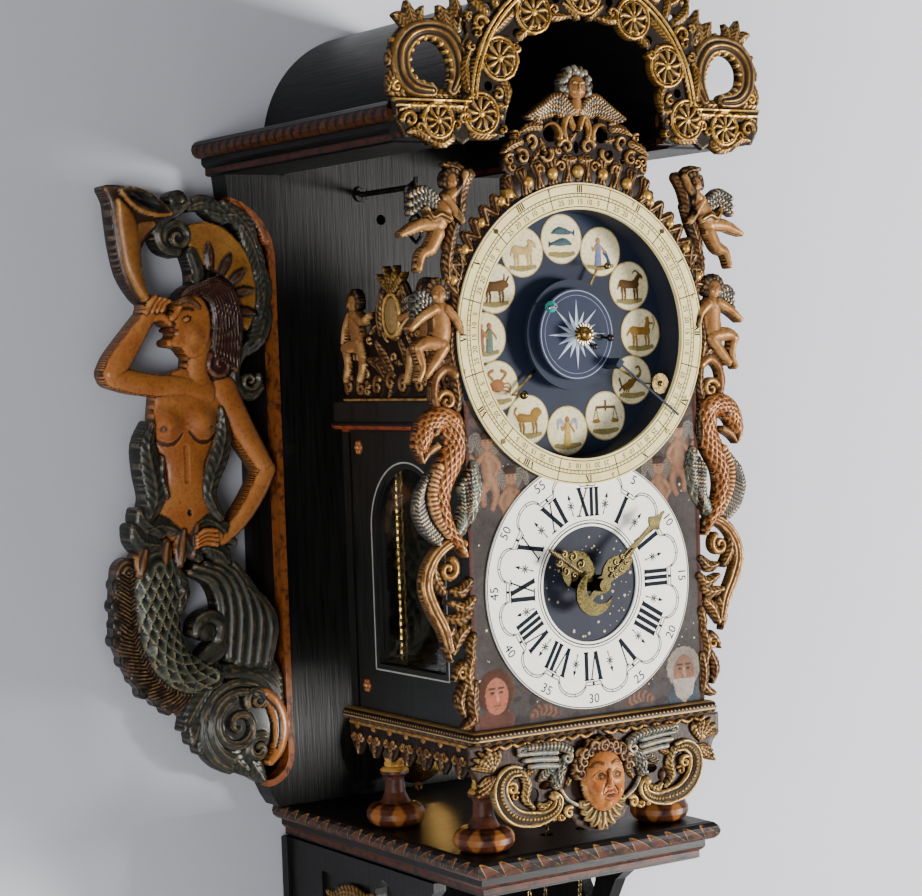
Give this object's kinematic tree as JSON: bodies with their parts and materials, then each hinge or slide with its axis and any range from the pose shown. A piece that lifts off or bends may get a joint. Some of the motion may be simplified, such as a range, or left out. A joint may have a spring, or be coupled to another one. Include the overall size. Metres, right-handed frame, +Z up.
{
  "type": "astronomical wall clock",
  "caption": "Wall clock with an orrery dial over the clock dial, in a cast-mounted case with glazed side doors, on a carved stool with a barrel canopy.",
  "frame": {"origin": "top of the stool's shelf, on the wall plane, in the middle of the width", "axes": "+X to the right seen from the front, +Y into the wall, +Z up"},
  "size_m": [0.48, 0.296, 1.001],
  "materials": {
    "back_board": "ebonised oak, satin",
    "canopy": "ebonised with a painted cornice",
    "barrel_roof": "ebonised, satin",
    "fret_crest": "gilt over a dark ground",
    "crest_dragons": "gilt over a dark ground",
    "mermaid_left": "carved, painted and waxed",
    "mermaid_right": "carved, painted and waxed",
    "shelf": "ebonised with painted mouldings",
    "console_left": "ebonised with gilt relief",
    "console_right": "ebonised with gilt relief",
    "keeper_peg": "forged",
    "keeper_links": "forged",
    "pendulum_cock": "forged",
    "case_floor": "painted, with a gilt beaded moulding",
    "case_frame": "painted",
    "case_back": "painted",
    "feet": "turned and painted",
    "door_left": "painted, with a silvered line",
    "door_right": "painted, with a silvered line",
    "glass_left": "clear",
    "glass_right": "clear",
    "dial_plate": "painted sheet iron",
    "calendar_ring": "painted cream",
    "chapter_ring": "painted white",
    "ornament_left": "cast lead, painted and gilt",
    "ornament_right": "cast lead, painted and gilt",
    "dial_crest": "cast lead, painted and gilt",
    "apron_front": "cast lead, painted and gilt",
    "apron_sides": "cast lead, bronzed",
    "galleries": "cast lead, bronzed",
    "drum": "painted",
    "zodiac_disc": "painted slate blue with cream medallions",
    "star_disc": "painted",
    "sun": "gilt",
    "mercury": "blackened ball on a brass arm",
    "venus": "dark ball on a brass arm",
    "earth": "turquoise ball on a painted disc",
    "moon": "silvered",
    "mars": "brown ball on a brass arm",
    "jupiter": "brown ball on a brass arm",
    "saturn": "brass",
    "movement_frame": "brass plates with twisted pillars",
    "great_wheel": "satin",
    "centre_wheel": "satin",
    "third_wheel": "satin",
    "escape_wheel": "satin",
    "anchor": "polished steel",
    "pendulum": "satin",
    "minute_hand": "gilt",
    "hour_hand": "gilt",
    "motion_wheel": "satin",
    "strike_wheel": "satin",
    "pin_wheel": "satin",
    "fly": "satin",
    "hammer": "blackened steel",
    "bell": "bell metal",
    "chain_drive": "worn brass",
    "chain_slack": "worn brass",
    "weight": "brass shell over lead",
    "ring_weight": "lead ring"
  },
  "bodies": {
    "stool": {"back_board": "back_board", "canopy": "canopy", "barrel_roof": "barrel_roof", "fret_crest": "fret_crest", "crest_dragons": "crest_dragons", "mermaid_left": "mermaid_left", "mermaid_right": "mermaid_right", "shelf": "shelf", "console_left": "console_left", "console_right": "console_right", "keeper_peg": "keeper_peg", "pendulum_cock": "pendulum_cock", "case_floor": "case_floor", "case_frame": "case_frame", "case_back": "case_back", "feet": "feet", "dial_plate": "dial_plate", "calendar_ring": "calendar_ring", "chapter_ring": "chapter_ring", "ornament_left": "ornament_left", "ornament_right": "ornament_right", "dial_crest": "dial_crest", "apron_front": "apron_front", "apron_sides": "apron_sides", "galleries": "galleries", "drum": "drum", "zodiac_disc": "zodiac_disc", "star_disc": "star_disc", "sun": "sun", "movement_frame": "movement_frame", "bell": "bell", "chain_drive": "chain_drive", "chain_slack": "chain_slack"},
    "door_left": {"door_left": "door_left", "glass_left": "glass_left"},
    "door_right": {"door_right": "door_right", "glass_right": "glass_right"},
    "earth": {"earth": "earth"},
    "mercury": {"mercury": "mercury"},
    "venus": {"venus": "venus"},
    "mars": {"mars": "mars"},
    "jupiter": {"jupiter": "jupiter"},
    "saturn": {"saturn": "saturn"},
    "moon": {"moon": "moon"},
    "third": {"third_wheel": "third_wheel"},
    "centre": {"centre_wheel": "centre_wheel"},
    "great": {"great_wheel": "great_wheel"},
    "escape": {"escape_wheel": "escape_wheel"},
    "pendulum": {"pendulum": "pendulum", "anchor": "anchor"},
    "minute": {"minute_hand": "minute_hand"},
    "hour": {"hour_hand": "hour_hand"},
    "motion": {"motion_wheel": "motion_wheel"},
    "strike_great": {"strike_wheel": "strike_wheel"},
    "strike_pins": {"pin_wheel": "pin_wheel"},
    "strike_fly": {"fly": "fly"},
    "hammer": {"hammer": "hammer"},
    "weight": {"weight": "weight"},
    "ring_weight": {"ring_weight": "ring_weight"},
    "keeper_links": {"keeper_links": "keeper_links"}
  },
  "joints": [
    {"name": "door_left_hinge", "type": "hinge", "parent": "stool", "child": "door_left", "pos_m": [-0.092, -0.129, 0.19], "axis": [0, 0, -1], "range_deg": [0, 90]},
    {"name": "door_right_hinge", "type": "hinge", "parent": "stool", "child": "door_right", "pos_m": [0.092, -0.129, 0.19], "axis": [0, 0, 1], "range_deg": [0, 90]},
    {"name": "earth_spin", "type": "hinge", "parent": "stool", "child": "earth", "pos_m": [0, -0.26, 0.3457], "axis": [0, 1, 0], "continuous": true},
    {"name": "mercury_spin", "type": "hinge", "parent": "stool", "child": "mercury", "pos_m": [0, -0.26, 0.3457], "axis": [0, 1, 0], "continuous": true},
    {"name": "venus_spin", "type": "hinge", "parent": "stool", "child": "venus", "pos_m": [0, -0.26, 0.3457], "axis": [0, 1, 0], "continuous": true},
    {"name": "mars_spin", "type": "hinge", "parent": "stool", "child": "mars", "pos_m": [0, -0.26, 0.3457], "axis": [0, 1, 0], "continuous": true},
    {"name": "jupiter_spin", "type": "hinge", "parent": "stool", "child": "jupiter", "pos_m": [0, -0.26, 0.3457], "axis": [0, 1, 0], "continuous": true},
    {"name": "saturn_spin", "type": "hinge", "parent": "stool", "child": "saturn", "pos_m": [0, -0.26, 0.3457], "axis": [0, 1, 0], "continuous": true},
    {"name": "moon_spin", "type": "hinge", "parent": "earth", "child": "moon", "pos_m": [-0.02516, -0.282, 0.36466], "axis": [0, 1, 0], "continuous": true},
    {"name": "third_spin", "type": "hinge", "parent": "stool", "child": "third", "pos_m": [0.00457, -0.229, 0.20453], "axis": [0, 1, 0], "continuous": true},
    {"name": "centre_spin", "type": "hinge", "parent": "stool", "child": "centre", "pos_m": [0, -0.239, 0.1763], "axis": [0, 1, 0], "continuous": true},
    {"name": "great_spin", "type": "hinge", "parent": "stool", "child": "great", "pos_m": [0, -0.251, 0.1483], "axis": [0, 1, 0], "continuous": true},
    {"name": "escape_spin", "type": "hinge", "parent": "stool", "child": "escape", "pos_m": [0, -0.213, 0.23079], "axis": [0, 1, 0], "continuous": true},
    {"name": "pendulum_swing", "type": "hinge", "parent": "stool", "child": "pendulum", "pos_m": [0, -0.046, 0.252], "axis": [0, 1, 0], "range_deg": [-4, 4]},
    {"name": "minute_spin", "type": "hinge", "parent": "stool", "child": "minute", "pos_m": [0, -0.29, 0.1763], "axis": [0, 1, 0], "continuous": true},
    {"name": "hour_spin", "type": "hinge", "parent": "stool", "child": "hour", "pos_m": [0, -0.286, 0.1763], "axis": [0, 1, 0], "continuous": true},
    {"name": "motion_spin", "type": "hinge", "parent": "stool", "child": "motion", "pos_m": [0.018, -0.264, 0.1763], "axis": [0, 1, 0], "continuous": true},
    {"name": "strike_spin", "type": "hinge", "parent": "stool", "child": "strike_great", "pos_m": [0, -0.157, 0.1483], "axis": [0, 1, 0], "continuous": true},
    {"name": "pin_spin", "type": "hinge", "parent": "stool", "child": "strike_pins", "pos_m": [0, -0.169, 0.1763], "axis": [0, 1, 0], "continuous": true},
    {"name": "fly_spin", "type": "hinge", "parent": "stool", "child": "strike_fly", "pos_m": [0, -0.187, 0.1971], "axis": [0, 1, 0], "continuous": true},
    {"name": "hammer_strike", "type": "hinge", "parent": "stool", "child": "hammer", "pos_m": [-0.043, -0.165, 0.271], "axis": [0, 1, 0], "range_deg": [-12, 0]},
    {"name": "weight_fall", "type": "slide", "parent": "stool", "child": "weight", "axis": [0, 0, -1], "range_m": [-0.06, 0.16], "deforming": ["chain_drive"]},
    {"name": "ring_rise", "type": "slide", "parent": "stool", "child": "ring_weight", "axis": [0, 0, -1], "range_m": [-0.16, 0.06], "deforming": ["chain_slack"]},
    {"name": "links_swing", "type": "hinge", "parent": "stool", "child": "keeper_links", "pos_m": [-0.017, -0.098, 0.459], "axis": [0, 1, 0], "range_deg": [-25, 25]}
  ],
  "couplings": [
    {"joint": "mercury_spin", "follows": "earth_spin", "ratio": 4.152},
    {"joint": "venus_spin", "follows": "earth_spin", "ratio": 1.6255},
    {"joint": "mars_spin", "follows": "earth_spin", "ratio": 0.5317},
    {"joint": "jupiter_spin", "follows": "earth_spin", "ratio": 0.0843},
    {"joint": "saturn_spin", "follows": "earth_spin", "ratio": 0.0339},
    {"joint": "moon_spin", "follows": "earth_spin", "ratio": 12.368},
    {"joint": "centre_spin", "follows": "third_spin", "ratio": -0.1},
    {"joint": "great_spin", "follows": "third_spin", "ratio": 0.016667},
    {"joint": "escape_spin", "follows": "third_spin", "ratio": -9.25},
    {"joint": "motion_spin", "follows": "minute_spin", "ratio": -0.33333},
    {"joint": "hour_spin", "follows": "minute_spin", "ratio": 0.083333},
    {"joint": "pin_spin", "follows": "strike_spin", "ratio": -6},
    {"joint": "fly_spin", "follows": "strike_spin", "ratio": 42},
    {"joint": "ring_rise", "follows": "weight_fall", "ratio": -1}
  ]
}
